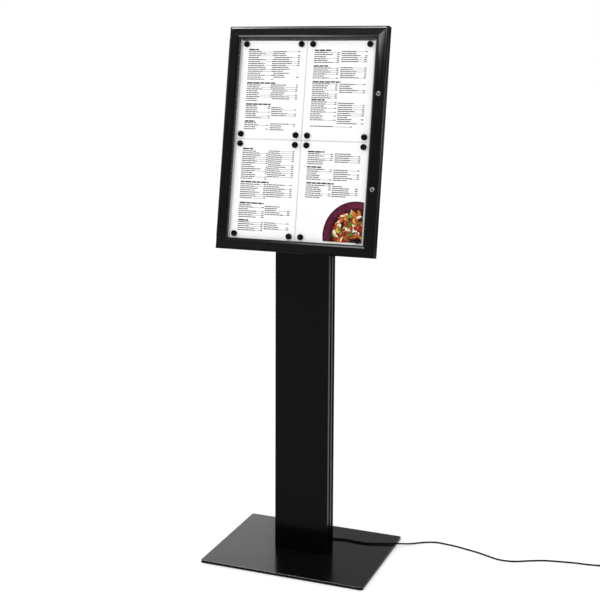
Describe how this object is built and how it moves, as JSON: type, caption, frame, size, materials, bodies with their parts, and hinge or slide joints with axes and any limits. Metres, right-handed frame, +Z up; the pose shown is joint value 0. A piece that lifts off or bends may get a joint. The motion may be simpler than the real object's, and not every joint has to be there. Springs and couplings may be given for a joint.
{
  "type": "illuminated menu display stand",
  "caption": "Floor stand with a tilted, lockable, backlit case for printed sheets held by magnets, on a column and base plate with a low voltage lead.",
  "frame": {"origin": "on the floor under the middle of the base plate", "axes": "+Z up, -Y towards the reader, +X to the reader's right"},
  "size_m": [1.3442, 0.5088, 1.6237],
  "materials": {
    "powder_coat_black": "satin black powder coat on steel",
    "anodised_black": "satin black anodised extrusion",
    "bare_aluminium": "mill finish aluminium",
    "board_white": "white coated sheet steel",
    "zinc_steel": "zinc plated steel",
    "chrome": "polished chrome plate",
    "rubber_black": "matt black rubber",
    "clear_pane": "clear pane",
    "paper_white": null,
    "magnet_black": "black coated disc magnet",
    "light_strip": "strip of white light emitting diodes",
    "plastic_black": "fine textured black plastic",
    "plastic_white": "white plastic",
    "lead_sheath": "smooth black cable sheath"
  },
  "bodies": {
    "stand": {"base_plate": "powder_coat_black", "base_mat": "rubber_black", "foot_insert": "bare_aluminium", "column": "anodised_black", "column_cap": "plastic_black", "tilt_bracket": "powder_coat_black", "case_rail_top": "anodised_black", "case_rail_right": "anodised_black", "case_rail_bottom": "anodised_black", "case_rail_left": "anodised_black", "back_panel": "powder_coat_black", "magnetic_board": "board_white", "light_bar_left": "anodised_black", "light_bar_right": "anodised_black", "board_trim_top": "anodised_black", "board_trim_bottom": "anodised_black", "led_strip_left": "light_strip", "led_strip_right": "light_strip", "cable_gland": "plastic_black", "inner_lead": "lead_sheath", "terminal_block": "plastic_white", "menu_sheet_upper_left": "paper_white", "menu_sheet_upper_right": "paper_white", "menu_sheet_lower_left": "paper_white", "menu_sheet_lower_right": "paper_white", "magnet_upper_left_tl": "magnet_black", "magnet_upper_left_tr": "magnet_black", "magnet_upper_left_bl": "magnet_black", "magnet_upper_left_br": "magnet_black", "magnet_upper_right_tl": "magnet_black", "magnet_upper_right_tr": "magnet_black", "magnet_upper_right_bl": "magnet_black", "magnet_upper_right_br": "magnet_black", "magnet_lower_left_tl": "magnet_black", "magnet_lower_left_tr": "magnet_black", "magnet_lower_left_bl": "magnet_black", "magnet_lower_left_br": "magnet_black", "magnet_lower_right_tl": "magnet_black", "magnet_lower_right_tr": "magnet_black", "magnet_lower_right_bl": "magnet_black", "magnet_lower_right_br": "magnet_black", "hinge_leaf_case": "powder_coat_black", "hinge_pin": "zinc_steel", "supply_cord": "lead_sheath", "supply_cord_coil": "lead_sheath", "power_plug": "plastic_black"},
    "door": {"door_rail_top": "anodised_black", "door_rail_right": "anodised_black", "door_rail_bottom": "anodised_black", "door_rail_left": "anodised_black", "door_pane": "clear_pane", "pane_gasket": "rubber_black", "hinge_leaf_door": "powder_coat_black", "lock_body_upper": "chrome", "lock_body_lower": "chrome"},
    "upper_lock": {"lock_plug_upper": "chrome", "lock_cam_upper": "zinc_steel"},
    "lower_lock": {"lock_plug_lower": "chrome", "lock_cam_lower": "zinc_steel"}
  },
  "joints": [
    {"name": "door_hinge", "type": "hinge", "parent": "stand", "child": "door", "pos_m": [-0.25255, -0.03538, 1.29142], "axis": [0, -0.1736, -0.9848], "range_deg": [0, 170]},
    {"name": "upper_lock_turn", "type": "hinge", "parent": "door", "child": "upper_lock", "pos_m": [0.2335, -0.02339, 1.42969], "axis": [0, -0.9848, 0.1736], "range_deg": [0, 90]},
    {"name": "lower_lock_turn", "type": "hinge", "parent": "door", "child": "lower_lock", "pos_m": [0.2335, -0.0714, 1.15739], "axis": [0, -0.9848, 0.1736], "range_deg": [0, 90]}
  ]
}
